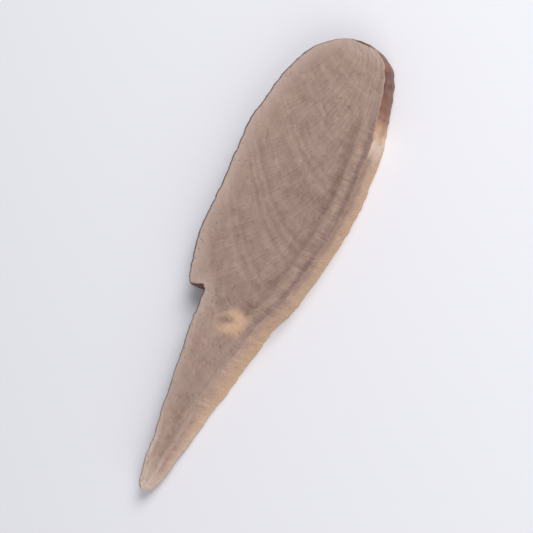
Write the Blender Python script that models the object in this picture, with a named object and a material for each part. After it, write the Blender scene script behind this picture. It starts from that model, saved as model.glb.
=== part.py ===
"""One slice of dried reishi mushroom, lying on its back cut face.

The slice is a radial cut through a cap. Its thin tip is the cap's margin and its broad end is
the thick back edge. The crust, the cap's upper side, faces +Y, and the pore surface, its
underside, faces -Y. The front cut face looks up and the back cut face rests on the surface.
"""

import math

import bmesh
import bpy
from mathutils import Vector

MM = 0.001

# Sections from the tip to the back edge, in millimetres:
# crust side x and y, pore side x and y, height of the front cut face.
# The step near 33.4 mm is the ledge where the cap's older and thicker zone ends.
SECTIONS = (
    (0.0, 1.4, 0.1, 0.8, 1.6),
    (0.6, 1.9, 0.7, 0.35, 1.85),
    (2.0, 2.25, 2.4, -0.05, 2.2),
    (4.6, 2.6, 5.0, -0.5, 2.65),
    (9.6, 3.35, 10.4, -1.25, 3.2),
    (14.4, 3.85, 15.4, -2.0, 3.7),
    (19.8, 4.55, 20.8, -3.1, 4.2),
    (24.8, 5.0, 25.4, -4.15, 4.55),
    (28.8, 5.35, 29.2, -5.05, 4.7),
    (31.8, 5.65, 31.4, -5.5, 4.7),
    (33.15, 5.95, 32.5, -5.85, 4.74),
    (33.35, 6.45, 32.8, -5.98, 4.76),
    (33.45, 8.1, 33.6, -6.35, 4.79),
    (33.65, 8.65, 34.1, -6.6, 4.8),
    (34.4, 9.3, 35.2, -7.2, 4.85),
    (36.2, 9.95, 37.0, -7.85, 4.85),
    (39.0, 10.6, 39.6, -8.5, 4.85),
    (43.4, 11.1, 44.4, -9.35, 4.9),
    (49.2, 11.1, 49.8, -10.2, 4.95),
    (55.0, 11.4, 55.0, -10.5, 5.0),
    (60.6, 11.5, 60.6, -10.2, 5.0),
    (66.2, 10.95, 66.2, -9.5, 4.95),
    (71.0, 9.7, 70.6, -8.3, 4.9),
    (75.2, 7.8, 74.6, -7.2, 4.8),
    (78.1, 5.1, 77.9, -5.5, 4.7),
    (79.6, 2.5, 79.5, -3.4, 4.6),
    (80.0, 0.7, 80.0, -1.7, 4.55),
)
LENGTH = 80.0
STATION_SPACING = 0.9
FINE_SPACING = 0.4
TOP_POINTS = 22
END_CROWDING = 0.3
BOTTOM_POINTS = 5
SIDE_LEVELS = (0.0, 0.35, 0.7, 1.0)
CORNER = 0.25

# Growth ridges of the crust, which run across the slice's thickness: height, spacing, phase.
CRUST_RIDGES = ((0.08, 7.3, 0.6), (0.06, 4.1, 2.2), (0.04, 2.9, 4.0))
RIDGE_FADE = 6.0

# The crust bulges between the cut faces, and the pore surface leans out towards the back face.
# The crust wraps round the back edge, so the pore surface ends at 66 mm.
CRUST_BULGE = 0.35
PORE_LEAN = 0.16
PORE_LEAN_MORE = 0.85
PORE_LEAN_X = 19.4
PORE_LEAN_REACH = 14.0
PORE_END = 66.0
PORE_END_FADE = 6.0

# The tip curled up a little as it dried.
TIP_LIFT = 1.1
TIP_LIFT_LENGTH = 23.4

# Relief of the front cut face. The flesh shrank more than the crust and the pore layer.
CRUST_RIM = 0.15
PORE_RIM = 0.08
RIM_WIDTH = 1.0
TUBE_LINE_DEPTH = 0.1
TUBE_LINE_INSET = 1.0
TUBE_LINE_WIDTH = 0.6
TUBE_LINE_START = 27.4
TUBE_LINE_FADE = 8.0
HOLLOW_DEPTH = 0.35
HOLLOW_X = 11.4
HOLLOW_LENGTH = 5.0
HOLLOW_SHARE = 0.5
HOLLOW_BREADTH = 0.22
# Height, length along, length across and phase of the face's low waves.
FACE_WAVES = ((0.14, 5.1, 4.3, 1.3), (0.08, 2.7, 3.1, 0.4))

# The shallow insect hole, with the rim that the flesh grew around it, lower on the crust side.
HOLE_AT = (30.6, 0.1, 5.15)
HOLE_RADII = (0.75, 1.2, 0.9)
HOLE_RIM_X = 30.55
HOLE_RIM_Y = -0.7
HOLE_RIM_RADII = (1.55, 2.0)
HOLE_RIM_HEIGHT = 0.3
HOLE_RIM_WIDTH = 0.55
HOLE_RIM_SLOPE = 0.7
HOLE_REACH = 3.0


def clear_scene():
    for obj in list(bpy.data.objects):
        bpy.data.objects.remove(obj, do_unlink=True)


def bell(value, width):
    """1 at zero, falling smoothly to nothing over about two widths."""
    return math.exp(-((value / width) ** 2))


def ramp(value, start, length):
    """0 up to start, rising to 1 over length."""
    return min(max((value - start) / length, 0.0), 1.0)


def on_side(column, index, share):
    """A point of one side's smooth outline, share of the way from section index to the next."""
    knots = [Vector(row[column : column + 2]) for row in SECTIONS]
    here, there = knots[index], knots[index + 1]
    before = knots[max(index - 1, 0)]
    after = knots[min(index + 2, len(knots) - 1)]
    span = (there - here).length
    slope_here = (there - before) / (span + (here - before).length)
    slope_there = (after - here) / (span + (after - there).length)
    square, cube = share**2, share**3
    return (
        here * (2 * cube - 3 * square + 1)
        + slope_here * span * (cube - 2 * square + share)
        + there * (3 * square - 2 * cube)
        + slope_there * span * (cube - square)
    )


def crust_ridges(x):
    """How far the crust's growth ridges stand out at x."""
    ends = min(1.0, x / RIDGE_FADE, (LENGTH - x) / RIDGE_FADE)
    return ends * sum(
        height * math.sin(2 * math.pi * x / spacing + phase) for height, spacing, phase in CRUST_RIDGES
    )


def past_pores(x):
    """0 along the pore surface, 1 where the crust wraps round the back edge."""
    return ramp(x, PORE_END, PORE_END_FADE)


def pore_side_offset(x, level):
    """How far the pore side stands out past its upper edge. Level is 0 at its foot and 1 at that edge."""
    lean = PORE_LEAN + PORE_LEAN_MORE * bell(x - PORE_LEAN_X, PORE_LEAN_REACH)
    wrapped = past_pores(x)
    return lean * (1 - wrapped) * (1 - level) + CRUST_BULGE * wrapped * math.sin(math.pi * level)


def hole_rim(x, y):
    """Height of the raised ring round the insect hole."""
    across, along = (y - HOLE_RIM_Y) / HOLE_RIM_RADII[1], (x - HOLE_RIM_X) / HOLE_RIM_RADII[0]
    radius = math.hypot(across, along)
    height = HOLE_RIM_HEIGHT * (1 - HOLE_RIM_SLOPE * across)
    return height * bell((radius - 1) * HOLE_RIM_RADII[1], HOLE_RIM_WIDTH)


def face_relief(x, y, crust_gap, pore_gap):
    """How far the front cut face stands above its plane. The gaps are distances to the two sides."""
    share = pore_gap / max(crust_gap + pore_gap, CORNER)
    crust_rim = CRUST_RIM * bell(min(crust_gap, LENGTH - x), RIM_WIDTH)
    rims = max(crust_rim, PORE_RIM * bell(pore_gap, RIM_WIDTH))
    tube_line = TUBE_LINE_DEPTH * bell(pore_gap - TUBE_LINE_INSET, TUBE_LINE_WIDTH)
    tube_line *= ramp(x, TUBE_LINE_START, TUBE_LINE_FADE) * (1 - past_pores(x))
    hollow = HOLLOW_DEPTH * bell(x - HOLLOW_X, HOLLOW_LENGTH) * bell(share - HOLLOW_SHARE, HOLLOW_BREADTH)
    waves = sum(
        height * math.sin(x / along + phase) * math.cos(y / across + phase)
        for height, along, across, phase in FACE_WAVES
    )
    return rims - tube_line - hollow + waves + hole_rim(x, y)


def back_height(x):
    """Height of the back cut face: flat on the surface, but for the curled tip."""
    return TIP_LIFT * max(0.0, 1 - x / TIP_LIFT_LENGTH) ** 2


def across_shares(count):
    """Shares from 0 to 1, a little closer together near both ends."""
    for number in range(count):
        share = number / (count - 1)
        eased = (1 - math.cos(math.pi * share)) / 2
        yield share + (eased - share) * END_CROWDING


def section_ring(index, share):
    """One section's points: front face, crust, back face, then pore surface."""
    crust = on_side(0, index, share)
    pore = on_side(2, index, share)
    height = SECTIONS[index][4] * (1 - share) + SECTIONS[index + 1][4] * share
    outward = (crust - pore).normalized()
    crust += outward * crust_ridges(crust.x)
    width = (crust - pore).length
    corner = min(CORNER, width / 4)
    points = []
    for step in across_shares(TOP_POINTS):
        gap = corner + step * (width - 2 * corner)
        spot = pore + outward * gap
        relief = face_relief(spot.x, spot.y, width - gap, gap)
        points.append((spot.x, spot.y, back_height(spot.x) + height + relief))
    crust_top, pore_top = points[-1][2] - corner, points[0][2] - corner
    for level in SIDE_LEVELS:
        spot = crust + outward * CRUST_BULGE * math.sin(math.pi * level)
        low = back_height(crust.x) + corner
        points.append((spot.x, spot.y, crust_top + (low - crust_top) * level))
    foot = pore - outward * pore_side_offset(pore.x, 0)
    breadth = (crust - foot).length - 2 * corner
    for number in range(BOTTOM_POINTS):
        spot = crust - outward * (corner + breadth * number / (BOTTOM_POINTS - 1))
        points.append((spot.x, spot.y, back_height(spot.x)))
    for level in SIDE_LEVELS:
        spot = pore - outward * pore_side_offset(pore.x, level)
        low = back_height(pore.x) + corner
        points.append((spot.x, spot.y, low + (pore_top - low) * level))
    return [Vector(point) * MM for point in points]


def stations():
    """Section index and share of each ring, from the tip to the back edge."""
    for index, (row, after) in enumerate(zip(SECTIONS, SECTIONS[1:])):
        crust_run = math.dist(row[:2], after[:2])
        pore_run = math.dist(row[2:4], after[2:4])
        at_hole = row[0] < HOLE_RIM_X + HOLE_REACH and after[0] > HOLE_RIM_X - HOLE_REACH
        spacing = FINE_SPACING if at_hole else STATION_SPACING
        count = max(2, round(max(crust_run, pore_run) / spacing))
        for number in range(count):
            yield index, number / count
    yield len(SECTIONS) - 2, 1.0


def footprint_middle(verts):
    """Middle of the footprint's box, in the drawing's own frame."""
    xs = [vert.co.x for vert in verts]
    ys = [vert.co.y for vert in verts]
    return Vector(((min(xs) + max(xs)) / 2, (min(ys) + max(ys)) / 2, 0))


def slice_mesh(name):
    """A loft through the sections, with the middle of its footprint at the origin."""
    bm = bmesh.new()
    rings = [[bm.verts.new(point) for point in section_ring(*station)] for station in stations()]
    for near, far in zip(rings, rings[1:]):
        for i in range(len(near)):
            j = (i + 1) % len(near)
            bm.faces.new((near[i], near[j], far[j], far[i]))
    bm.faces.new(rings[0])
    bm.faces.new(rings[-1])
    bmesh.ops.recalc_face_normals(bm, faces=bm.faces)
    middle = footprint_middle(bm.verts)
    bmesh.ops.translate(bm, vec=-middle, verts=bm.verts)
    mesh = bpy.data.meshes.new(name)
    bm.to_mesh(mesh)
    bm.free()
    return mesh, middle


def hole_cutter(middle, collection):
    """The egg-shaped hollow of the insect hole."""
    bm = bmesh.new()
    bmesh.ops.create_uvsphere(bm, u_segments=16, v_segments=10, radius=MM)
    bmesh.ops.scale(bm, vec=HOLE_RADII, verts=bm.verts)
    mesh = bpy.data.meshes.new("hole_cutter")
    bm.to_mesh(mesh)
    bm.free()
    cutter = bpy.data.objects.new("hole_cutter", mesh)
    cutter.location = Vector(HOLE_AT) * MM - middle
    cutter.display_type = "WIRE"
    cutter.hide_render = True
    collection.objects.link(cutter)
    return cutter


def dried_flesh():
    """Brown, dry and corky, as the cut faces are."""
    material = bpy.data.materials.new("dried_reishi_flesh")
    material.use_nodes = True
    shader = material.node_tree.nodes["Principled BSDF"]
    shader.inputs["Base Color"].default_value = (0.30, 0.185, 0.125, 1.0)
    shader.inputs["Roughness"].default_value = 0.85
    shader.inputs["Metallic"].default_value = 0.0
    return material


def build():
    clear_scene()
    parts = bpy.data.collections.new("dried_reishi_mushroom")
    cutters = bpy.data.collections.new("cutters")
    bpy.context.scene.collection.children.link(parts)
    bpy.context.scene.collection.children.link(cutters)
    mesh, middle = slice_mesh("reishi_slice")
    reishi = bpy.data.objects.new("reishi_slice", mesh)
    parts.objects.link(reishi)
    mesh.materials.append(dried_flesh())
    hole = reishi.modifiers.new("insect hole", "BOOLEAN")
    hole.operation = "DIFFERENCE"
    hole.object = hole_cutter(middle, cutters)


build()
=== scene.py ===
# One slice of dried reishi mushroom, lying on its back cut face.
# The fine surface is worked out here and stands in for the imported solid, whose frame it shares.
import math
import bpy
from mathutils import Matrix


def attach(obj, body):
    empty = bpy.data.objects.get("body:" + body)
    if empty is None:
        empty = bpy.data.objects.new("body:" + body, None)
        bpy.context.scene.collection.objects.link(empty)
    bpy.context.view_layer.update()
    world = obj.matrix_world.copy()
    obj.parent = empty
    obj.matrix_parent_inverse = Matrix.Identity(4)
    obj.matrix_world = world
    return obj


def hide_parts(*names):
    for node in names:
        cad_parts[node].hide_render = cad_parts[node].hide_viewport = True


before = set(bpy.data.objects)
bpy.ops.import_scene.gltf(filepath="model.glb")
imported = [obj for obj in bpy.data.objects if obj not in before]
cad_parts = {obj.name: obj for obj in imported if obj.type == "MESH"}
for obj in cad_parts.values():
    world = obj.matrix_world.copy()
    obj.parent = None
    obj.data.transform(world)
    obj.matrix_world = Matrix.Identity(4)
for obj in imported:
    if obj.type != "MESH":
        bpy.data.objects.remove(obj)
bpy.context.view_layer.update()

from types import SimpleNamespace

import bmesh
import bpy
import numpy as np
from mathutils import Quaternion, Vector

mm = 0.001

# Outline of the slice, in millimetres from its tip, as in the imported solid: crust side x and y,
# pore side x and y, height of the front cut face.
outline = np.array((
    (0.0, 1.4, 0.1, 0.8, 1.6),
    (0.6, 1.9, 0.7, 0.35, 1.85),
    (2.0, 2.25, 2.4, -0.05, 2.2),
    (4.6, 2.6, 5.0, -0.5, 2.65),
    (9.6, 3.35, 10.4, -1.25, 3.2),
    (14.4, 3.85, 15.4, -2.0, 3.7),
    (19.8, 4.55, 20.8, -3.1, 4.2),
    (24.8, 5.0, 25.4, -4.15, 4.55),
    (28.8, 5.35, 29.2, -5.05, 4.7),
    (31.8, 5.65, 31.4, -5.5, 4.7),
    (33.15, 5.95, 32.5, -5.85, 4.74),
    (33.35, 6.45, 32.8, -5.98, 4.76),
    (33.45, 8.1, 33.6, -6.35, 4.79),
    (33.65, 8.65, 34.1, -6.6, 4.8),
    (34.4, 9.3, 35.2, -7.2, 4.85),
    (36.2, 9.95, 37.0, -7.85, 4.85),
    (39.0, 10.6, 39.6, -8.5, 4.85),
    (43.4, 11.1, 44.4, -9.35, 4.9),
    (49.2, 11.1, 49.8, -10.2, 4.95),
    (55.0, 11.4, 55.0, -10.5, 5.0),
    (60.6, 11.5, 60.6, -10.2, 5.0),
    (66.2, 10.95, 66.2, -9.5, 4.95),
    (71.0, 9.7, 70.6, -8.3, 4.9),
    (75.2, 7.8, 74.6, -7.2, 4.8),
    (78.1, 5.1, 77.9, -5.5, 4.7),
    (79.6, 2.5, 79.5, -3.4, 4.6),
    (80.0, 0.7, 80.0, -1.7, 4.55),
))

# What can be changed about the slice, in millimetres. Places are counted along it from the tip (x)
# and across it towards the crust (y). Depths and heights are of the relief on its surface.
slicePiece = {
    "tipAt": (-39.974, -0.629),     # where the outline's zero lies in the frame
    "length": 80.0,

    # how finely it is drawn
    "ringSpacing": 0.215,
    "fineSpacing": 0.14,            # between the next two, at the insect hole and the ledge
    "fineFrom": 28.0,
    "fineTo": 34.3,
    "facePoints": 112,
    "crustPoints": 22,
    "backPoints": 44,
    "porePoints": 26,
    "edgeCrowding": 0.3,            # how much the face's points crowd towards its edges

    # edges of the front face
    "crustRound": 0.4,
    "poreRound": (0.45, 0.75, 21.4, 14.0),  # everywhere, more of it, its middle, its reach
    "roundLimit": 3.2,              # the slice is at least this many roundings wide
    "crustChips": (0.05, 0.9),      # height, spacing
    "poreCrumble": (0.1, 1.1, 0.05),  # height, spacing, push outwards
    "raggedReach": 0.7,             # how far inwards both are felt

    # crust side, pore side, back face, ledge and ends
    "crustRidges": (0.2, 4.4, 6.0),  # height, spacing, fade at the ends
    "crustBulge": 0.35,
    "crustWrinkles": (0.055, 1.0, 2.2),  # height, length along the side and down it
    "crustFurrows": (0.16, 2.7, 7.0, 0.09),  # depth, length along and down, width
    "furrowsFrom": (4.0, 8.0),      # start, fade
    "poreLean": (0.16, 0.85, 19.4, 14.0),  # everywhere, more of it, its middle, its reach
    "poreLumps": (0.07, 1.3, 1.2),  # height, length along the side and up it
    "poreStreaks": (0.025, 0.5, 3.0),
    "poreEnd": (66.0, 6.0),         # where the crust takes over from the pores, and over what length
    "backRise": 0.09,               # mean height of the back face over the floor
    "tipLift": (1.1, 23.4),         # height, length
    "ledgePull": ((33.5, 8.5, -0.45, 1.1), (33.3, 6.2, 0.35, 0.9)),  # x, y, pull along x, reach
    "ledgeInner": (33.5, 6.3),
    "endSizes": (0.86, 0.6, 0.3, 0.0),  # size left at each step towards an end's point
    "endSteps": (0.45, 0.8, 0.95, 1.0),  # and the share of the reach gone by then
    "endReach": 0.12,

    # relief of the front face
    "crustRim": 0.13,
    "poreRim": (0.06, 22.0, 12.0),  # height, start, fade
    "rimWidth": 1.0,
    "tubeLine": (0.07, 1.0, 0.55, 27.4, 8.0),  # depth, inset from the pore edge, width, start, fade
    "tubeLineBreaks": (0.75, 0.5, 2.4),  # mean share of the depth, variation, its length
    "tubeLineWander": (0.25, 3.5),  # how far, its length
    "hollow": (0.35, 11.4, 5.0, 0.5, 0.22),  # depth, x, length, share across, breadth
    "faceWaves": ((0.14, 5.1, 4.3, 1.3), (0.08, 2.7, 3.1, 0.4)),  # height, along, across, start
    "pits": (320, 0.12, 0.32, 0.04, 0.15),  # how many, radius from and to, depth from and to
    "pitStretch": 1.6,

    # insect hole, its rim, and the crack from the rim to the tubes
    "holeAt": (30.2, 0.38),
    "holeRadii": (1.45, 0.6),       # along the oval's length and across it
    "holeEdge": (0.35, 0.7),        # share of the radius at full depth, share over which it ends
    "holeDepth": 0.14,
    "holeWobble": (0.12, 1.6),      # how much its edge wanders, how often per millimetre
    "rimAt": (30.26, -0.13),
    "rimRadii": (2.25, 1.27),
    "rimTurn": (0.35, -0.937),      # the way that both ovals' length points
    "rimHeight": 0.24,
    # the rim's strength sets both its height and its painted highlight
    "rimStrength": (0.62, 0.45, 0.2, 0.1),  # mean, more at the length's end, less aside, its square
    "rimBreadth": (0.38, 0.95, 0.44),  # everywhere, more at the length's end, more towards the tip
    "rimWobble": (0.08, 1.7),
    "rimCrumbs": (0.18, 0.5),       # share of the height, size
    "ringCrack": ((32.1, -2.0), (35.0, -5.9), 0.13),  # start, end, width
    "ringCrackDepth": 0.16,
    "ringCrackShade": 0.55,         # its painted shade is this share of the hole's
    "ringCrackWaves": ((0.22, 3.5), (0.07, 11.0)),  # how far, how often over its length
    "ringCrackEnds": ((-0.05, 0.25), (0.75, 0.3)),  # start, fade, in shares of its length

    # grain of both cut faces
    "growthBend": 0.035,            # growth lines bend back by this times the gap squared
    "fanSpacing": 14.0,             # fibres are worked out in stretches this long
    "fanShift": 7.7,                # and each stretch has its own part of the noise
    "fibres": (0.05, 6.5, 0.55),    # height, length, breadth
    "growthSteps": (0.02, 1.5),     # height, spacing
    "stepWander": (0.5, 6.0, 5.0),  # how far, length along and across
    "tubes": (0.03, 0.5, 4.0),      # height, breadth, length
    "tubesInset": (1.5, 2.5),       # how far in from the pores, fade
    "tubesFrom": (5.0, 10.0),
    "cracks": (0.14, 0.03),         # depth, width
    "crackLines": (15.0, 3.0, 40.0),  # length, distance apart, drift
    "crackPatches": (9.0, 6.0, 0.05, 0.35),  # length, breadth, from what strength, over what
    "crackFree": (1.0, 1.0, 2.0, 1.5),  # none this near the crust, fade, this near the pores, fade
    "unevenness": (0.025, 3.1, 2.2),  # height, length along and across
    "fineGrain": (0.022, 0.6, 0.5),

    # where the colours change
    # tone by the ledge; the last entry is painted shade over the old middle
    "ledgeTone": (                  # x, reach along, distance from the pores, reach across, strength
        (29.5, 3.2, 5.5, 2.5, 1.0), (37.0, 3.0, 6.0, 2.8, -1.0), (52.0, 8.0, 8.0, 7.0, -0.75)),
    "tubeLayer": (0.06, 23.5, 13.0),  # share left near the tip, start, fade
    "paleBorder": (2.2, 1.5, 20.0, 18.0),  # breadth at the crust, more of it, start, fade
    "wallDip": (0.2, 24.0, 10.0),   # how much less the pore side darkens upwards, middle, reach
    "wallRise": (0.2, 40.0, 12.0),  # and how much more, start, fade
    "crustStart": (1.8, 1.4, 1.3, 2.3),  # past the pores' end: at the foot, less on top, wander, how often
    "marginReach": 1.5,             # how far onto the face the margin beside the pores shows
    "marginTip": 0.45,              # at the tip, distances count this much, so it is broader there
    "newPores": (-4.0, 3.5),        # before the crust's start, fade
    "paleTip": (0.9, 0.5, 5.0),     # strength, start, fade
    "paleFoot": (0.7, 8.0, 14.0),   # the same at the pore side's foot

    "colours": {
        "youngFlesh": "ac9386",
        "fleshAtPores": "b69a8b",
        # also the colour of the painted highlight along the tip's crust edge
        "tip": "dac7b6",
        "hollowSpots": "7d5a4a",
        # painted highlight on the hole's rim, and painted shade in the hole and its crack
        "holeRim": "d2ad8f",
        "hole": "a28574",
        "specks": "785a4b",
        "sporeDust": "8f6e58",
        "tubeMouths": "94704f",
        "youngTint": "f6f7fd",
        "bruises": "95735f",
        "newPores": "d0b8a6",
    },
}


def hexColour(code):
    # sRGB hex to linear light, with full alpha
    parts = [int(code[i:i + 2], 16) / 255 for i in (0, 2, 4)]
    return tuple(p / 12.92 if p <= 0.04045 else ((p + 0.055) / 1.055) ** 2.4 for p in parts) + (1.0,)


def bell(value, width):
    # 1 at zero, falling smoothly to nothing over about two widths
    return np.exp(-(value / width) ** 2)


def ramp(value, start, length):
    # 0 up to start, then an eased rise to 1 over length
    share = np.clip((value - start) / length, 0, 1)
    return share * share * (3 - 2 * share)


def smoothNoise(x, y, seed):
    # random values on a unit grid, eased between the four round each point, from -1 to 1
    table = np.random.default_rng(seed).uniform(-1, 1, (256, 256))
    x, y = np.broadcast_arrays(x, y)
    column, row = np.floor(x).astype(int), np.floor(y).astype(int)
    fx, fy = x - column, y - row
    fx, fy = fx ** 3 * (fx * (6 * fx - 15) + 10), fy ** 3 * (fy * (6 * fy - 15) + 10)
    near = table[column & 255, row & 255] * (1 - fx) + table[(column + 1) & 255, row & 255] * fx
    far = table[column & 255, (row + 1) & 255] * (1 - fx) + table[(column + 1) & 255, (row + 1) & 255] * fx
    return near * (1 - fy) + far * fy


def layeredNoise(x, y, seed, layers=3):
    # smooth noise, then each finer layer twice as fine and half as strong
    return sum(smoothNoise(x * 2 ** k, y * 2 ** k, seed + k) / 2 ** k for k in range(layers))


def placeRings(piece):
    # section number and share of each ring, closer round the insect hole and the ledge
    index, share = [], []
    for i, (row, after) in enumerate(zip(outline, outline[1:])):
        run = max(np.hypot(*(after[:2] - row[:2])), np.hypot(*(after[2:4] - row[2:4])))
        fine = row[0] < piece["fineTo"] and after[0] > piece["fineFrom"]
        count = max(2, round(run / piece["fineSpacing" if fine else "ringSpacing"]))
        index.append(np.full(count, i))
        share.append(np.arange(count) / count)
    index.append(np.array([len(outline) - 2]))
    share.append(np.array([1.0]))
    return np.concatenate(index), np.concatenate(share)


def sideLine(column, index, share):
    # a smooth line through one side's points: each stretch is a cubic that leaves and arrives
    # along the direction between its neighbours
    knots = outline[:, column:column + 2]
    here, there = knots[index], knots[index + 1]
    before, after = knots[np.maximum(index - 1, 0)], knots[np.minimum(index + 2, len(knots) - 1)]
    span = np.linalg.norm(there - here, axis=1)
    leave = (there - before) / (span + np.linalg.norm(here - before, axis=1))[:, None]
    arrive = (after - here) / (span + np.linalg.norm(after - there, axis=1))[:, None]
    t, span = share[:, None], span[:, None]
    return (here * (2 * t ** 3 - 3 * t ** 2 + 1) + leave * span * (t ** 3 - 2 * t ** 2 + t)
            + there * (3 * t ** 2 - 2 * t ** 3) + arrive * span * (t ** 3 - t ** 2))


def tipCurl(x, piece):
    # the back face's height: zero, then a square law up to the tip
    lift, length = piece["tipLift"]
    return lift * np.maximum(0.0, 1 - x / length) ** 2


def growthFan(x, poreGap, piece):
    # Growth lines: x less a constant times the gap squared. Fibres cross them, so across the fibres
    # runs gap * exp(2 * bend * (x - middle)), about the middles of two sets of overlapping stretches;
    # the last value is the first set's weight.
    bend, spacing, shift = piece["growthBend"], piece["fanSpacing"], piece["fanShift"]
    growth = x - bend * poreGap ** 2
    even = 2 * np.round(x / (2 * spacing)) * spacing
    odd = (2 * np.round((x / spacing - 1) / 2) + 1) * spacing
    acrossEven = poreGap * np.exp(2 * bend * (x - even)) + shift * even
    acrossOdd = poreGap * np.exp(2 * bend * (x - odd)) + shift * odd
    return growth, acrossEven, acrossOdd, ramp(1 - np.abs(x - even) / spacing, 0, 1)


def shareAcross(poreGap, crustGap):
    # 0 at the pores to 1 at the crust
    return poreGap / np.maximum(poreGap + crustGap, 0.2)


def poresLeft(x, piece):
    # 1 along the pores, falling to 0 where the crust takes over
    return 1 - ramp(x, *piece["poreEnd"])


def fleshGrain(x, y, crustGap, poreGap, piece, seed):
    # fibres as noise drawn out across the growth lines, low steps at the growth lines, tubes across
    # the pore edge, drying cracks where a drawn-out noise crosses zero, and a soft unevenness
    growth, acrossEven, acrossOdd, even = growthFan(x, poreGap, piece)
    height, length, breadth = piece["fibres"]
    z = height * (layeredNoise(growth / length, acrossEven / breadth, seed) * even
                  + layeredNoise(growth / length, acrossOdd / breadth, seed + 5) * (1 - even))

    height, spacing = piece["growthSteps"]
    wander, length, breadth = piece["stepWander"]
    stepAt = growth + wander * layeredNoise(x / length, y / breadth, seed + 11, 2)
    z = z + height * smoothNoise(stepAt / spacing, stepAt * 0 + 3, seed + 13)

    height, breadth, length = piece["tubes"]
    tubes = smoothNoise(x / breadth, poreGap / length, seed + 17)
    tubes = tubes * (1 - ramp(poreGap, *piece["tubesInset"])) * ramp(x, *piece["tubesFrom"])
    z = z + height * (tubes * poresLeft(x, piece))

    depth, width = piece["cracks"]
    length, apart, drift = piece["crackLines"]
    line = layeredNoise(growth / length, poreGap / apart + x / drift, seed + 19, 2)
    length, breadth, start, fade = piece["crackPatches"]
    cracks = bell(line, width) * ramp(layeredNoise(x / length, y / breadth, seed + 23, 2), start, fade)
    nearCrust, crustFade, nearPores, poreFade = piece["crackFree"]
    cracks = cracks * ramp(crustGap, nearCrust, crustFade) * ramp(poreGap, nearPores, poreFade)
    z = z - depth * cracks

    height, length, breadth = piece["unevenness"]
    z = z + height * layeredNoise(x / length, y / breadth, seed + 29)
    height, length, breadth = piece["fineGrain"]
    return z + height * layeredNoise(x / length, y / breadth, seed + 31, 2)


def faceRelief(x, y, crustGap, poreGap, piece, seed):
    # rims along both edges, a broken groove over the tube layer, the hollow near the tip, low waves
    crustRim = piece["crustRim"] * bell(np.minimum(crustGap, piece["length"] - x), piece["rimWidth"])
    height, start, fade = piece["poreRim"]
    z = np.maximum(crustRim, height * bell(poreGap, piece["rimWidth"]) * ramp(x, start, fade))

    depth, inset, width, start, fade = piece["tubeLine"]
    usual, varies, length = piece["tubeLineBreaks"]
    broken = usual + varies * smoothNoise(x / length, x * 0 + 8, seed + 37)
    wander, length = piece["tubeLineWander"]
    inset = inset + wander * smoothNoise(x / length, x * 0 + 4, seed + 39)
    z = z - depth * broken * bell(poreGap - inset, width) * ramp(x, start, fade) * poresLeft(x, piece)

    depth, middle, length, at, breadth = piece["hollow"]
    z = z - depth * bell(x - middle, length) * bell(shareAcross(poreGap, crustGap) - at, breadth)
    for height, along, across, phase in piece["faceWaves"]:
        z = z + height * np.sin(x / along + phase) * np.cos(y / across + phase)
    return z + fleshGrain(x, y, crustGap, poreGap, piece, seed)


def insectHole(x, y, piece):
    # An oval ring whose height follows a bell round its line, high at one end of its length and
    # nearly gone at the other, and a shallow oval pit. Gives the height, and how much of a point is
    # rim and how much is pit: the rim's share also paints a highlight, the pit's a painted shade.
    tx, ty = piece["rimTurn"]
    dx, dy = x - piece["rimAt"][0], y - piece["rimAt"][1]
    along, aside = dx * tx + dy * ty, dy * tx - dx * ty
    radius = np.maximum(np.hypot(along, aside), 0.01)
    oval = np.hypot(along / piece["rimRadii"][0], aside / piece["rimRadii"][1])
    ua, us = along / radius, aside / radius
    wobble, often = piece["rimWobble"]
    oval = np.maximum(oval * (1 + wobble * smoothNoise(ua * often + 9, us * often + 2, 41)), 0.01)
    usual, atEnd, lessAside, asideSquared = piece["rimStrength"]
    strength = np.clip(usual + atEnd * ua - lessAside * us + asideSquared * us ** 2, 0.1, 1.05)
    usual, atEnd, toTip = piece["rimBreadth"]
    breadth = usual + atEnd * np.maximum(ua, 0) + toTip * np.maximum(-us, 0)
    rim = strength * bell(radius - radius / oval, breadth)
    crumbs, size = piece["rimCrumbs"]
    crumbs = 1 + crumbs * layeredNoise(x / size, y / size, 45, 2)

    dx, dy = x - piece["holeAt"][0], y - piece["holeAt"][1]
    long, short = piece["holeRadii"]
    away = np.hypot((dx * tx + dy * ty) / long, (dy * tx - dx * ty) / short)
    wobble, often = piece["holeWobble"]
    pit = 1 - ramp(away * (1 + wobble * smoothNoise(x * often, y * often, 43)), *piece["holeEdge"])
    return piece["rimHeight"] * rim * crumbs - piece["holeDepth"] * pit, rim, pit


def ringCrack(x, y, piece):
    # a crack between two points: a bell across a slightly wavy line, thinning to nothing at both ends
    (ax, ay), (bx, by), width = piece["ringCrack"]
    run = math.hypot(bx - ax, by - ay)
    ux, uy = (bx - ax) / run, (by - ay) / run
    along = ((x - ax) * ux + (y - ay) * uy) / run
    (wide, few), (narrow, many) = piece["ringCrackWaves"]
    wave = wide * smoothNoise(along * few, along * 0, 47)
    wave = wave + narrow * smoothNoise(along * many, along * 0, 49)
    across = (y - ay) * ux - (x - ax) * uy + wave
    first, last = piece["ringCrackEnds"]
    return bell(across, width) * ramp(along, *first) * (1 - ramp(along, *last))


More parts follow.
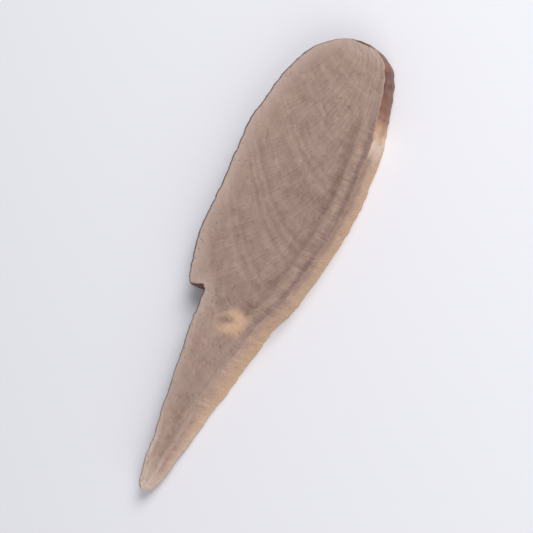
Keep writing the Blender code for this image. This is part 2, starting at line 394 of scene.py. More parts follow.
def scatterPits(x, y, piece, seed):
    # small round pits at random places on the face, each a bell of its own radius and depth
    count, least, most, shallow, deep = piece["pits"]
    margin = 6      # points from the face's edges
    rng = np.random.default_rng(seed)
    rows = rng.integers(0, x.shape[0], count)
    columns = rng.integers(margin, x.shape[1] - margin, count)
    radii = rng.uniform(least, most, count)
    depths = rng.uniform(shallow, deep, count)
    dip = np.zeros_like(x)
    for row, column, radius, depth in zip(rows, columns, radii, depths):
        away = (x - x[row, column]) ** 2 + piece["pitStretch"] * (y - y[row, column]) ** 2
        dip = np.maximum(dip, depth * np.exp(-away / radius ** 2))
    return dip


def roundEdge(away, radius):
    # how far a round edge falls below the corner of two flats, at a distance from that corner
    return radius * (1 - np.sqrt(np.clip(1 - np.clip(1 - away / radius, 0, 1) ** 2, 0, 1)))


def ledgeGap(x, y, piece):
    # distance from the ledge, a straight line across the slice from its inner corner outwards
    cx, cy = piece["ledgeInner"]
    return np.hypot(x - cx, np.maximum(cy - y, 0))


def pullLedge(x, y, piece):
    # draws the ledge's outer corner towards the tip and its inner corner back, each by a bell
    for cx, cy, pull, reach in piece["ledgePull"]:
        x = x + pull * np.exp(-((x - cx) ** 2 + (y - cy) ** 2) / reach ** 2)
    return x


def closeEnds(rings, marks, piece):
    # each end is drawn in to a point in a few steps, a little further out each time
    sizes = np.array(piece["endSizes"])[:, None, None]
    steps = np.array(piece["endSteps"])[:, None]
    caps, capMarks = [], []
    for end, out in ((0, -piece["endReach"]), (-1, piece["endReach"])):
        middle = rings[end].mean(axis=0)
        cap = middle + (rings[end] - middle) * sizes
        cap[..., 0] += out * steps
        caps.append(cap)
        capMarks.append(np.repeat(marks[end][None], len(sizes), axis=0))
    return (np.concatenate((caps[0][::-1], rings, caps[1])),
            np.concatenate((capMarks[0], marks, capMarks[1])))


def stackMarks(*values):
    # one value for each mark at each point of a strip
    return np.stack(np.broadcast_arrays(*values), axis=-1)


def sideLines(piece):
    # One point per ring on the crust line and the pore line. Noise pushes the crust out in growth
    # ridges. With them come the way across and what neighbouring strips share: width, roundings of
    # the front face's edges, where each begins at 45 degrees, and the knife's ragged edges.
    index, share = placeRings(piece)
    crust, pore = sideLine(0, index, share), sideLine(2, index, share)
    height = (outline[index, 4] * (1 - share) + outline[index + 1, 4] * share)[:, None]
    outward = crust - pore
    outward = outward / np.linalg.norm(outward, axis=1)[:, None]
    along = crust[:, 0]
    ridgeHeight, ridgeSpacing, ridgeFade = piece["crustRidges"]
    fade = np.clip(np.minimum(along, piece["length"] - along) / ridgeFade, 0, 1)
    ridges = fade * ridgeHeight * layeredNoise(along / ridgeSpacing, along * 0 + 6, 55, 3)
    crust = crust + outward * ridges[:, None]
    width = np.linalg.norm(crust - pore, axis=1)[:, None]
    poreX, crustX = pore[:, 0][:, None], crust[:, 0][:, None]

    usual, more, middle, reach = piece["poreRound"]
    poreRound = np.minimum(usual + more * bell(poreX - middle, reach), width / piece["roundLimit"])
    crustRound = np.minimum(piece["crustRound"], width / piece["roundLimit"])
    turned = 1 - math.sqrt(0.5)
    crumble, spacing, push = piece["poreCrumble"]
    poreCrumble = crumble * layeredNoise(poreX / spacing, poreX * 0 + 5, 51) + push
    chips, spacing = piece["crustChips"]
    crustChips = chips * layeredNoise(crustX / spacing, crustX * 0 + 9, 57)
    return SimpleNamespace(
        crust=crust[:, None], pore=pore[:, None], out=outward[:, None, :], height=height, width=width,
        poreX=poreX, crustX=crustX, poreRound=poreRound, crustRound=crustRound,
        poreCorner=poreRound * turned, crustCorner=crustRound * turned,
        poreCrumble=poreCrumble, crustChips=crustChips)


def raggedShift(line, crustGap, poreGap, piece):
    # how far the ragged edges push a point of a cut face across the slice, fading inwards
    reach = piece["raggedReach"]
    push = line.crustChips * bell(crustGap, reach) - line.poreCrumble * bell(poreGap, reach)
    return line.out * push[..., None]


def frontFace(line, piece):
    # from the pores to the crust: the tip's curl, the outline's height, the relief, and round edges
    steps = np.linspace(0, 1, piece["facePoints"])[None]
    steps = steps + ((1 - np.cos(np.pi * steps)) / 2 - steps) * piece["edgeCrowding"]
    gap = line.poreCorner + steps * (line.width - line.poreCorner - line.crustCorner)
    spot = line.pore + line.out * gap[..., None]
    spot = spot + raggedShift(line, line.width - gap, gap, piece)
    x, y = spot[..., 0], spot[..., 1]
    rise, rim, pit = insectHole(x, y, piece)
    crack = ringCrack(x, y, piece)
    fromCrust = np.minimum(line.width - gap, ledgeGap(x, y, piece))
    z = tipCurl(x, piece) + line.height + faceRelief(x, y, fromCrust, gap, piece, 100) + rise
    z = z - piece["ringCrackDepth"] * crack - scatterPits(x, y, piece, 61)
    z = z - roundEdge(gap, line.poreRound) - roundEdge(line.width - gap, line.crustRound)
    # painted shade in the pit and along the crack
    pitShade = np.maximum(pit, piece["ringCrackShade"] * crack)
    return np.dstack((x, y, z)), stackMarks(gap, fromCrust, rim, pitShade, 1.0)


def crustStrip(line, top, piece):
    # down from the front face to the back face, bulging by a sine, with wrinkles and furrows
    level = np.linspace(0, 1, piece["crustPoints"] + 1)[None, 1:]
    low = tipCurl(line.crustX, piece) + line.crustCorner
    z = top + (low - top) * level
    height, length, drop = piece["crustWrinkles"]
    wrinkles = height * layeredNoise(line.crustX / length, z / drop, 71)
    depth, length, drop, width = piece["crustFurrows"]
    furrows = depth * bell(smoothNoise(line.crustX / length, z / drop, 73), width)
    furrows = furrows * ramp(line.crustX, *piece["furrowsFrom"])
    push = (piece["crustBulge"] - furrows + wrinkles) * np.sin(np.pi * level) ** 0.8 + line.crustChips
    push = push - roundEdge(line.crustCorner + top - z, line.crustRound)
    spot = line.crust + line.out * push[..., None]
    return np.dstack((spot, z)), stackMarks(line.width, 0.0, 0.0, 0.0, 1 - level)


def poreFoot(line, piece):
    # how far the pore side's foot stands out past its top, by a bell along the slice
    usual, more, middle, reach = piece["poreLean"]
    return (usual + more * bell(line.poreX - middle, reach)) * poresLeft(line.poreX, piece)


def backFace(line, piece):
    # from the crust to the pores: the tip's curl and the grain, nowhere below the floor
    breadth = line.width + poreFoot(line, piece) - 2 * line.crustCorner
    crustGap = line.crustCorner + breadth * np.linspace(0, 1, piece["backPoints"])[None]
    poreGap = line.width + poreFoot(line, piece) - crustGap
    spot = line.crust - line.out * crustGap[..., None]
    spot = spot + raggedShift(line, crustGap, poreGap, piece)
    x, y = spot[..., 0], spot[..., 1]
    grain = piece["backRise"] + fleshGrain(x, y, crustGap, poreGap, piece, 300)
    z = tipCurl(x, piece) + np.maximum(grain, 0)
    return np.dstack((x, y, z)), stackMarks(poreGap, crustGap, 0.0, 0.0, 0.0)


def poreStrip(line, top, piece):
    # up from the back face to the front face: leans in towards its top, lumpy by noise, and bulges
    # like the crust by a sine where that has taken over
    level = np.linspace(0, 1, piece["porePoints"] + 1)[None, :-1]
    low = tipCurl(line.poreX, piece) + line.crustCorner
    z = low + (top - low) * level
    height, length, rise = piece["poreLumps"]
    lumps = height * layeredNoise(line.poreX / length, z / rise, 81)
    height, length, rise = piece["poreStreaks"]
    lumps = lumps + height * layeredNoise(line.poreX / length, z / rise, 87, 2)
    wrapped = ramp(line.poreX, *piece["poreEnd"])
    push = poreFoot(line, piece) * (1 - level) + piece["crustBulge"] * wrapped * np.sin(np.pi * level)
    push = push + line.poreCrumble + lumps * np.sin(np.pi * level) ** 0.5
    push = push - roundEdge(line.poreCorner + top - z, line.poreRound)
    spot = line.pore - line.out * push[..., None]
    return np.dstack((spot, z)), stackMarks(0.0, line.width, 0.0, 0.0, level)


def makeSlice(piece):
    # Rings round the slice, each of four strips. Marks of each point: distance from the pores and
    # from the crust, rim and pit of the hole, and height from the back face (0) to the front (1).
    line = sideLines(piece)
    front, frontMarks = frontFace(line, piece)
    poreTop, crustTop = front[:, 0, 2][:, None], front[:, -1, 2][:, None]
    strips = ((front, frontMarks), crustStrip(line, crustTop, piece), backFace(line, piece),
              poreStrip(line, poreTop, piece))
    rings = np.concatenate([spots for spots, marks in strips], axis=1)
    marks = np.concatenate([marks for spots, marks in strips], axis=1)
    rings[..., 0] = pullLedge(rings[..., 0], rings[..., 1], piece)
    return closeEnds(rings, marks, piece)


def ringFaces(rows, columns):
    # quads between neighbouring rings, closed round each ring
    i, j = np.meshgrid(np.arange(rows - 1), np.arange(columns), indexing="ij")
    here, beside = i * columns + j, i * columns + (j + 1) % columns
    quads = np.stack((here, beside, beside + columns, here + columns), axis=-1)
    return quads.reshape(-1, 4), j.ravel(), i.ravel()


def addNode(tree, kind, values):
    # A node with its values by property name, or by socket name or number. A node or socket given as
    # a value is linked, a node from its first live output. "stops" are a colour ramp's places, hex
    # colours and alphas, "range" is a map range's from and to.
    node = tree.nodes.new(kind)
    for name, value in values.items():
        if name == "stops":
            elements = node.color_ramp.elements
            elements.remove(elements[1])
            for number, (place, code, alpha) in enumerate(value):
                stop = elements[0] if number == 0 else elements.new(place)
                stop.position = place
                stop.color = hexColour(code)[:3] + (alpha,)
        elif name == "range":
            for socket, limit in zip(node.inputs[1:5], value):
                socket.default_value = limit
        elif isinstance(name, str) and name not in node.inputs:
            setattr(node, name, value)
        elif isinstance(value, bpy.types.Node):
            tree.links.new(next(output for output in value.outputs if output.enabled), node.inputs[name])
        elif isinstance(value, bpy.types.NodeSocket):
            tree.links.new(value, node.inputs[name])
        else:
            node.inputs[name].default_value = value
    return node


def newMaterial(name, readings=()):
    # an empty material, its node tree, and what its nodes read: the named values of the mesh's
    # points, and the place on the object
    material = bpy.data.materials.new(name)
    material.use_nodes = True
    tree = material.node_tree
    tree.nodes.clear()
    read = {name: addNode(tree, "ShaderNodeAttribute", {"attribute_name": name}).outputs["Fac"]
            for name in readings}
    read["place"] = addNode(tree, "ShaderNodeTexCoord", {}).outputs["Object"]
    return material, tree, read


def paintOver(tree, colour, colours, layers):
    # Each layer's colour is mixed over the last result by the product of its shares. It is a named
    # colour or comes from a node.
    for over, share, *others in layers:
        for other in others:
            share = addNode(tree, "ShaderNodeMath", {"operation": "MULTIPLY", 0: share, 1: other})
        if isinstance(over, str):
            over = hexColour(colours[over])
        colour = addNode(tree, "ShaderNodeMix", {"data_type": "RGBA", 0: share, 6: colour, 7: over})
    return colour


def finishMaterial(tree, values):
    # the principled shader with its own values, joined to the output; none of these things is metal
    shader = addNode(tree, "ShaderNodeBsdfPrincipled", {"Metallic": 0.0, "IOR": 1.45, **values})
    addNode(tree, "ShaderNodeOutputMaterial", {"Surface": shader})


# Dried corky flesh, cut with a knife: matt, pinkish brown, with fibres that fan out from the tubes
# and paler and darker growth lines across them.
def cutFlesh(colours):
    material, tree, read = newMaterial("dried flesh, knife cut", (
        "along", "poreGap", "fromCrust", "growth", "acrossEven", "acrossOdd", "fanEven", "tubeLayer",
        "holeRim", "holePit", "hollow", "ledgeTone"))

    # soft mottling about 2.5 mm across
    mottle = addNode(tree, "ShaderNodeTexNoise", {
        "Vector": read["place"], "Scale": 400.0, "Detail": 5.0, "Roughness": 0.65})
    # fibres 0.35 mm wide, drawn 6 mm long, in two sets of stretches
    strands = []
    for across in ("acrossEven", "acrossOdd"):
        at = addNode(tree, "ShaderNodeCombineXYZ", {"X": read["growth"], "Y": read[across]})
        at = addNode(tree, "ShaderNodeVectorMath", {"operation": "MULTIPLY", 0: at, 1: (0.17, 2.8, 1.0)})
        strands.append(addNode(tree, "ShaderNodeTexNoise", {
            "Vector": at, "Scale": 1.0, "Detail": 4.0, "Roughness": 0.65}))
    fibres = addNode(tree, "ShaderNodeMix", {
        "data_type": "FLOAT", 0: read["fanEven"], 2: strands[1], 3: strands[0]})
    # growth lines 1 to 3 mm apart
    growthAt = addNode(tree, "ShaderNodeMath", {
        "operation": "MULTIPLY_ADD", 0: mottle, 1: 2.2, 2: read["growth"]})
    growthAt = addNode(tree, "ShaderNodeCombineXYZ", {"X": growthAt})
    bands = addNode(tree, "ShaderNodeTexNoise", {
        "Vector": growthAt, "Scale": 0.62, "Detail": 4.0, "Roughness": 0.6})
    tone = addNode(tree, "ShaderNodeMath", {"operation": "ADD", 0: fibres, 1: mottle})
    tone = addNode(tree, "ShaderNodeMath", {"operation": "MULTIPLY_ADD", 0: bands, 1: 1.1, 2: tone})
    # paler on the young side of the ledge and darker on its old side; the old middle is darkened by painted
    # shade
    tone = addNode(tree, "ShaderNodeMath", {
        "operation": "MULTIPLY_ADD", 0: read["ledgeTone"], 1: 0.2, 2: tone})
    tone = addNode(tree, "ShaderNodeMapRange", {"Value": tone, "range": (0.9, 2.2, 0.0, 1.0)})
    body = addNode(tree, "ShaderNodeValToRGB", {"Fac": tone, "stops": (
        (0.0, "796155", 1), (0.3, "947b70", 1), (0.55, "a58c80", 1), (0.8, "b49a8d", 1),
        (1.0, "c7ae9f", 1))})
    # the young flesh towards the tip is paler
    young = addNode(tree, "ShaderNodeMapRange", {"Value": read["along"], "range": (15.0, 35.0, 0.6, 0.0)})
    colour = paintOver(tree, body, colours, [("youngFlesh", young)])

    # Beside the pores, over 6 mm: pale edge, dark resinous line, pale line, faint dark line. Broken up
    # along the slice in stretches of about 2.5 mm.
    layerAt = addNode(tree, "ShaderNodeMath", {"operation": "MULTIPLY_ADD", 0: mottle, 1: 0.26, 2: -0.13})
    layerAt = addNode(tree, "ShaderNodeMath", {
        "operation": "MULTIPLY_ADD", 0: read["poreGap"], 1: 1 / 6, 2: layerAt})
    layer = addNode(tree, "ShaderNodeValToRGB", {"Fac": layerAt, "stops": (
        (0.0, "a88d80", 0.85), (0.04, "9c8378", 0.9), (0.09, "957e76", 0.95), (0.15, "968079", 0.9),
        (0.21, "a88d82", 0.75), (0.3, "ba9d8f", 0.75), (0.4, "b19789", 0.6), (0.5, "866e64", 0.75),
        (0.61, "8a7268", 0.65), (0.86, "9e8579", 0.0))})
    patchAt = addNode(tree, "ShaderNodeCombineXYZ", {"X": read["along"], "Y": read["poreGap"]})
    patches = addNode(tree, "ShaderNodeTexNoise", {
        "Vector": patchAt, "Scale": 0.42, "Detail": 3.0, "Roughness": 0.6})
    patches = addNode(tree, "ShaderNodeMapRange", {"Value": patches, "range": (0.36, 0.6, 0.4, 1.0)})
    # tubes run across the layer; real ones are 0.2 mm apart, drawn at 0.35 mm so that they show
    tubeAt = addNode(tree, "ShaderNodeVectorMath", {
        "operation": "MULTIPLY", 0: patchAt, 1: (2.9, 0.35, 1.0)})
    tubes = addNode(tree, "ShaderNodeTexNoise", {
        "Vector": tubeAt, "Scale": 1.0, "Detail": 2.0, "Roughness": 0.5})
    tubeShade = addNode(tree, "ShaderNodeValToRGB", {"Fac": tubes, "stops": (
        (0.32, "c4b6ac", 1), (0.68, "ffffff", 1))})
    layerColour = addNode(tree, "ShaderNodeMix", {
        "data_type": "RGBA", "blend_type": "MULTIPLY", 0: 0.8, 6: layer, 7: tubeShade})
    colour = paintOver(tree, colour, colours, [
        (layerColour, layer.outputs["Alpha"], read["tubeLayer"], patches)])

    # near the tip the flesh pales towards the pores, over 2 mm
    atPores = addNode(tree, "ShaderNodeMapRange", {"Value": read["poreGap"], "range": (0.0, 2.4, 0.5, 0.0)})
    nearTip = addNode(tree, "ShaderNodeMapRange", {"Value": read["along"], "range": (9.0, 28.0, 0.9, 0.0)})
    colour = paintOver(tree, colour, colours, [("fleshAtPores", atPores, nearTip)])

    # from the crust: the thin dark skin seen edge on, then the pale layer under it
    edgeAt = addNode(tree, "ShaderNodeMath", {"operation": "MULTIPLY_ADD", 0: fibres, 1: 0.2, 2: -0.1})
    edgeAt = addNode(tree, "ShaderNodeMath", {"operation": "ADD", 0: read["fromCrust"], 1: edgeAt})
    edge = addNode(tree, "ShaderNodeValToRGB", {"Fac": edgeAt, "stops": (
        (0.0, "5b4034", 1), (0.05, "6d4f41", 1), (0.1, "baa398", 0.9), (0.33, "b69f94", 0.75),
        (0.65, "b0978b", 0.5), (1.0, "a88f82", 0.0))})
    # which the young margin has not grown yet
    grown = addNode(tree, "ShaderNodeMapRange", {"Value": read["along"], "range": (7.0, 19.0, 0.25, 1.0)})
    colour = paintOver(tree, colour, colours, [(edge, edge.outputs["Alpha"], grown)])

    # the tip is pale, fading by 6.5 mm, and a painted highlight runs along its crust edge, fading by 15 mm
    tip = addNode(tree, "ShaderNodeMapRange", {"Value": read["along"], "range": (0.5, 6.5, 0.75, 0.0)})
    tipEdgeHighlight = addNode(tree, "ShaderNodeMapRange", {
        "Value": read["fromCrust"], "range": (0.05, 0.46, 0.9, 0.0)})
    tipEnd = addNode(tree, "ShaderNodeMapRange", {"Value": read["along"], "range": (6.0, 15.0, 1.0, 0.0)})
    tipEdgeHighlight = addNode(tree, "ShaderNodeMath", {"operation": "MULTIPLY", 0: tipEdgeHighlight, 1: tipEnd})
    tip = addNode(tree, "ShaderNodeMath", {"operation": "MAXIMUM", 0: tip, 1: tipEdgeHighlight})
    # brown spots in the hollow, 1 mm across
    spots = addNode(tree, "ShaderNodeTexNoise", {"Vector": read["place"], "Scale": 900.0, "Detail": 3.0})
    spots = addNode(tree, "ShaderNodeMapRange", {"Value": spots, "range": (0.4, 0.62, 0.0, 0.3)})
    # specks of dark tissue 0.3 mm across
    specks = addNode(tree, "ShaderNodeTexVoronoi", {"Vector": read["place"], "Scale": 850.0})
    specks = addNode(tree, "ShaderNodeMapRange", {"Value": specks, "range": (0.06, 0.2, 0.45, 0.0)})
    # painted highlight on the hole's rim, painted shade in the hole and its crack
    colour = paintOver(tree, colour, colours, [
        ("tip", tip), ("hollowSpots", spots, read["hollow"]), ("holeRim", read["holeRim"]),
        ("hole", read["holePit"]), ("specks", specks)])

    # fine grain 0.2 mm across, raised along the fibres and sunk at the specks
    grain = addNode(tree, "ShaderNodeTexNoise", {
        "Vector": read["place"], "Scale": 5200.0, "Detail": 3.0, "Roughness": 0.7})
    height = addNode(tree, "ShaderNodeMath", {"operation": "MULTIPLY_ADD", 0: fibres, 1: 1.3, 2: grain})
    height = addNode(tree, "ShaderNodeMath", {"operation": "MULTIPLY_ADD", 0: specks, 1: -0.8, 2: height})
    bump = addNode(tree, "ShaderNodeBump", {"Strength": 0.8, "Distance": 0.12 * mm, "Height": height})
    finishMaterial(tree, {
        "Base Color": colour, "Normal": bump, "Roughness": 0.88, "Specular IOR Level": 0.25})
    return material


# Lacquered crust, grown as a hard resin skin: dark red brown, banded, with a worn satin shine.
def lacqueredCrust(colours):
    material, tree, read = newMaterial("lacquered crust", ("along", "fromMargin"))
    warp = addNode(tree, "ShaderNodeTexNoise", {"Vector": read["place"], "Scale": 260.0, "Detail": 3.0})
    # growth bands 1 to 4 mm wide
    bandAt = addNode(tree, "ShaderNodeMath", {
        "operation": "MULTIPLY_ADD", 0: warp, 1: 1.6, 2: read["along"]})
    bandAt = addNode(tree, "ShaderNodeCombineXYZ", {"X": bandAt})
    bands = addNode(tree, "ShaderNodeTexNoise", {
        "Vector": bandAt, "Scale": 0.55, "Detail": 3.0, "Roughness": 0.6})
    skin = addNode(tree, "ShaderNodeValToRGB", {"Fac": bands, "stops": (
        (0.3, "3b2521", 1), (0.45, "553029", 1), (0.58, "744231", 1), (0.72, "46302b", 1))})
    # the growing margin is pale, at the tip and where the crust meets the pores
    marginAt = addNode(tree, "ShaderNodeMath", {"operation": "MULTIPLY_ADD", 0: warp, 1: 0.5, 2: -0.25})
    marginAt = addNode(tree, "ShaderNodeMath", {
        "operation": "MULTIPLY_ADD", 0: read["fromMargin"], 1: 0.09, 2: marginAt})
    margin = addNode(tree, "ShaderNodeValToRGB", {"Fac": marginAt, "stops": (
        (0.0, "d3b699", 1), (0.18, "b98f6c", 0.9), (0.45, "8a5c42", 0.6), (1.0, "6b3d2d", 0.0))})
    # brown spore dust in patches about 1.5 mm across, matt where it lies
    dust = addNode(tree, "ShaderNodeTexNoise", {
        "Vector": read["place"], "Scale": 700.0, "Detail": 5.0, "Roughness": 0.65})
    dusty = addNode(tree, "ShaderNodeMapRange", {"Value": dust, "range": (0.5, 0.72, 0.0, 0.6)})
    rough = addNode(tree, "ShaderNodeMapRange", {"Value": dust, "range": (0.35, 0.7, 0.38, 0.75)})
    colour = paintOver(tree, skin, colours, [(margin, margin.outputs["Alpha"]), ("sporeDust", dusty)])
    # wrinkles in the skin, 0.7 mm apart
    wrinkles = addNode(tree, "ShaderNodeTexNoise", {
        "Vector": read["place"], "Scale": 1500.0, "Detail": 4.0, "Roughness": 0.6})
    bump = addNode(tree, "ShaderNodeBump", {"Strength": 0.6, "Distance": 0.15 * mm, "Height": wrinkles})
    finishMaterial(tree, {
        "Base Color": colour, "Normal": bump, "Roughness": rough, "Coat Weight": 0.25,
        "Coat Roughness": 0.35})
    return material


# Pore surface: the open ends of the tubes, pale tan, chalky, with brown bruises.
def poreSurface(colours):
    material, tree, read = newMaterial("pore surface, tube mouths", (
        "along", "level", "rise", "wallShade", "nearCrust"))
    # pale at the back face's edge, darker towards the front face, with streaks 1.5 mm wide down it
    streakAt = addNode(tree, "ShaderNodeCombineXYZ", {"X": read["along"], "Y": read["level"]})
    streaks = addNode(tree, "ShaderNodeTexNoise", {
        "Vector": streakAt, "Scale": 0.7, "Detail": 3.0, "Roughness": 0.55})
    tone = addNode(tree, "ShaderNodeMath", {
        "operation": "MULTIPLY_ADD", 0: read["wallShade"], 1: -0.5, 2: 0.595})
    tone = addNode(tree, "ShaderNodeMath", {"operation": "MULTIPLY_ADD", 0: streaks, 1: 0.35, 2: tone})
    base = addNode(tree, "ShaderNodeValToRGB", {"Fac": tone, "stops": (
        (0.1, "8e756a", 1), (0.28, "a2887a", 1), (0.38, "b29688", 1), (0.48, "c0a28d", 1),
        (0.62, "c4a58a", 1), (0.85, "c9ac95", 1))})
    # tube mouths are 0.2 mm apart, drawn at 0.36 mm so that they show
    mouthAt = addNode(tree, "ShaderNodeCombineXYZ", {"X": read["along"], "Y": read["rise"]})
    mouths = addNode(tree, "ShaderNodeTexVoronoi", {
        "voronoi_dimensions": "2D", "Vector": mouthAt, "Scale": 2.8, "Randomness": 0.7})
    mouthShare = addNode(tree, "ShaderNodeMapRange", {"Value": mouths, "range": (0.14, 0.42, 0.4, 0.0)})
    colour = paintOver(tree, base, colours, [("tubeMouths", mouthShare)])
    # the youngest pores, near the tip, are a little darker and greyer
    young = addNode(tree, "ShaderNodeMapRange", {"Value": read["along"], "range": (7.0, 17.0, 1.0, 0.0)})
    colour = addNode(tree, "ShaderNodeMix", {
        "data_type": "RGBA", "blend_type": "MULTIPLY", 0: young, 6: colour,
        7: hexColour(colours["youngTint"])})
    # brown bruises about 1 mm wide, most of them halfway up and none at the tip
    bruiseAt = addNode(tree, "ShaderNodeVectorMath", {
        "operation": "MULTIPLY", 0: streakAt, 1: (1.1, 1.3, 1.0)})
    bruises = addNode(tree, "ShaderNodeTexNoise", {
        "Vector": bruiseAt, "Scale": 1.0, "Detail": 4.0, "Roughness": 0.55})
    bruises = addNode(tree, "ShaderNodeMapRange", {"Value": bruises, "range": (0.5, 0.7, 0.0, 0.3)})
    halfway = addNode(tree, "ShaderNodeValToRGB", {"Fac": read["level"], "stops": (
        (0.1, "000000", 1), (0.35, "ffffff", 1), (0.65, "ffffff", 1), (0.9, "505050", 1))})
    old = addNode(tree, "ShaderNodeMapRange", {"Value": read["along"], "range": (3.0, 14.0, 0.0, 1.0)})
    # and smooth, pale new pores at the tip and where the crust's growing margin begins
    colour = paintOver(tree, colour, colours, [
        ("bruises", bruises, halfway, old), ("newPores", read["nearCrust"])])
    bump = addNode(tree, "ShaderNodeBump", {"Strength": 0.7, "Distance": 0.1 * mm, "Height": mouths})
    finishMaterial(tree, {
        "Base Color": colour, "Normal": bump, "Roughness": 0.9, "Specular IOR Level": 0.2})
    return material


def surfaceValues(rings, marks, piece):
    # What the materials read at each point: distances in millimetres, and shares from bells and
    # eased ramps along the slice. Also how far the point lies past the start of the crust.
    columns = rings.shape[1]
    x = rings[..., 0].ravel()
    poreGap, crustGap, rim, pit, level = (marks[..., k].ravel() for k in range(5))
    growth, acrossEven, acrossOdd, fanEven = growthFan(x, poreGap, piece)

    least, start, fade = piece["tubeLayer"]
    tubeLayer = (least + (1 - least) * ramp(x, start, fade)) * poresLeft(x, piece)
    breadth, more, start, fade = piece["paleBorder"]
    fromCrust = np.minimum(crustGap, piece["length"] - x) / (breadth + more * ramp(x, start, fade))
    # the last entry is painted shade over the old middle
    ledgeTone = sum(strength * bell(x - at, reach) * bell(poreGap - gap, breadth)
                    for at, reach, gap, breadth, strength in piece["ledgeTone"])
    middle, length, at, breadth = piece["hollow"][1:]
    hollow = bell(x - middle, length) * bell(shareAcross(poreGap, crustGap) - at, breadth)

    less, middle, reach = piece["wallDip"]
    more, start, fade = piece["wallRise"]
    wallShade = level * (1.0 - less * bell(x - middle, reach) + more * ramp(x, start, fade))
    atFoot, lessAtTop, wander, often = piece["crustStart"]
    wander = wander * smoothNoise(level * often, level * 0, 91)
    pastStart = x - (piece["poreEnd"][0] + atFoot - lessAtTop * level + wander)
    onPores = np.arange(len(x)) % columns >= columns - piece["porePoints"]
    nearPores = onPores | (poreGap < piece["marginReach"])
    farOff = 90.0
    fromMargin = np.minimum(piece["marginTip"] * x, np.where(nearPores, np.maximum(pastStart, 0), farOff))
    strength, start, fade = piece["paleTip"]
    paleTip = strength * (1 - ramp(x, start, fade))
    strength, start, fade = piece["paleFoot"]
    paleFoot = strength * (1 - ramp(x, start, fade)) * (1 - level) ** 2
    nearCrust = np.maximum(ramp(pastStart, *piece["newPores"]), np.maximum(paleTip, paleFoot))

    values = dict(
        along=x, poreGap=poreGap, fromCrust=fromCrust, growth=growth, acrossEven=acrossEven,
        acrossOdd=acrossOdd, fanEven=fanEven, tubeLayer=tubeLayer, holeRim=np.clip(rim, 0, 1),
        holePit=pit, hollow=hollow, ledgeTone=ledgeTone, level=level, rise=rings[..., 2].ravel(),
        wallShade=wallShade, fromMargin=fromMargin, nearCrust=nearCrust)
    return values, pastStart


def faceMaterials(row, column, past, rows, piece):
    # number of each face's material: 0 cut flesh, 1 crust, 2 pores; the ends are crust all over
    flesh, crust, pores = range(3)
    firstCrust = piece["facePoints"]
    firstBack = firstCrust + piece["crustPoints"]
    firstPore = firstBack + piece["backPoints"]
    ends = len(piece["endSizes"])
    slots = np.full(len(column), flesh)
    slots[(column >= firstCrust - 1) & (column < firstBack)] = crust
    slots[column >= firstPore - 1] = pores
    slots[(slots == pores) & (past > 0)] = crust
    slots[(row < ends) | (row >= rows - 1 - ends)] = crust
    return slots


def mergeEnds(mesh):
    # the ends' last rings are one point each: merge it, and turn every face outwards
    bm = bmesh.new()
    bm.from_mesh(mesh)
    bmesh.ops.remove_doubles(bm, verts=bm.verts, dist=1e-7)
    bmesh.ops.recalc_face_normals(bm, faces=bm.faces)
    bm.to_mesh(mesh)
    bm.free()


def buildSlice(piece):
    # the mesh from the rings, with the values that its materials read, as one object
    rings, marks = makeSlice(piece)
    rows, columns = rings.shape[:2]
    print("surface worked out: %d rings of %d points" % (rows, columns))
    quads, column, row = ringFaces(rows, columns)
    spots = rings.reshape(-1, 3) + np.array((*piece["tipAt"], 0.0))
    mesh = bpy.data.meshes.new("reishiSlice")
    mesh.from_pydata((spots * mm).tolist(), [], quads.tolist())
    values, pastStart = surfaceValues(rings, marks, piece)
    for name, value in values.items():
        mesh.attributes.new(name, "FLOAT", "POINT").data.foreach_set("value", value.astype(np.float32))
    for material in (cutFlesh, lacqueredCrust, poreSurface):
        mesh.materials.append(material(piece["colours"]))
    slots = faceMaterials(row, column, pastStart[quads].mean(axis=1), rows, piece)
    mesh.polygons.foreach_set("material_index", slots)
    mergeEnds(mesh)
    mesh.shade_smooth()
    reishi = bpy.data.objects.new("reishiSlice", mesh)
    bpy.context.scene.collection.objects.link(reishi)
    return reishi


reishi = buildSlice(slicePiece)
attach(reishi, "root")
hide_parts("reishi_slice")
print("slice made: %d faces" % len(reishi.data.polygons))

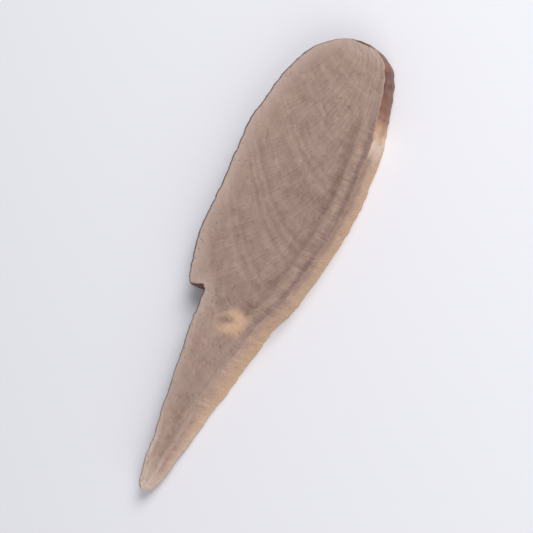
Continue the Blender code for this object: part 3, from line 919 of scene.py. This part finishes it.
# Floor, light and camera
studio = {
    "floorSide": 3.0,       # metres
    "floorColour": "e6e5ea",
    "worldColour": "eef0f6",
    "worldStrength": 0.4,
    "lights": (
        # name, place from the slice in metres, size, watts
        ("keySoftbox", (0.34, -0.08, 0.36), 0.30, 2.0),
        ("fillSoftbox", (-0.20, -0.42, 0.26), 0.50, 1.3),
    ),
    "elevation": 66.0,
    "roll": 64.0,           # the slice leans in the photograph
    "distance": 0.34,
    "lens": 143.0,
    "aim": (0.001, -0.002, 0.0025),
}


def makeStudio(studio):
    # a square floor, an even pale surround and two soft lamps turned to the slice
    floor = bpy.data.meshes.new("floor")
    side = studio["floorSide"] / 2
    corners = [(-side, -side, 0), (side, -side, 0), (side, side, 0), (-side, side, 0)]
    floor.from_pydata(corners, [], [(0, 1, 2, 3)])
    material, tree = newMaterial("pale paper floor")[:2]
    finishMaterial(tree, {"Base Color": hexColour(studio["floorColour"]), "Roughness": 0.9})
    floor.materials.append(material)
    floorObject = bpy.data.objects.new("floor", floor)
    bpy.context.scene.collection.objects.link(floorObject)
    world = bpy.data.worlds.new("soft studio")
    world.use_nodes = True
    background = world.node_tree.nodes["Background"]
    background.inputs["Color"].default_value = hexColour(studio["worldColour"])
    background.inputs["Strength"].default_value = studio["worldStrength"]
    bpy.context.scene.world = world
    for name, place, size, watts in studio["lights"]:
        lamp = bpy.data.lights.new(name, "AREA")
        lamp.size = size
        lamp.energy = watts
        holder = bpy.data.objects.new(name, lamp)
        holder.location = place
        holder.rotation_mode = "QUATERNION"
        holder.rotation_quaternion = (Vector(studio["aim"]) - Vector(place)).to_track_quat("-Z", "Y")
        bpy.context.scene.collection.objects.link(holder)


def makeCamera(studio):
    # looks at the aim from its height angle and distance, then rolls about its own axis
    lens = bpy.data.cameras.new("camera")
    lens.lens = studio["lens"]
    lens.clip_start = 0.01
    camera = bpy.data.objects.new("camera", lens)
    rise = math.radians(studio["elevation"])
    aim = Vector(studio["aim"])
    camera.location = aim + Vector((0, -math.cos(rise), math.sin(rise))) * studio["distance"]
    turn = (aim - camera.location).to_track_quat("-Z", "Y")
    camera.rotation_mode = "QUATERNION"
    camera.rotation_quaternion = turn @ Quaternion((0, 0, 1), -math.radians(studio["roll"]))
    bpy.context.scene.collection.objects.link(camera)
    bpy.context.scene.camera = camera


makeStudio(studio)
makeCamera(studio)
bpy.context.scene.view_settings.view_transform = "Standard"
print("studio ready")
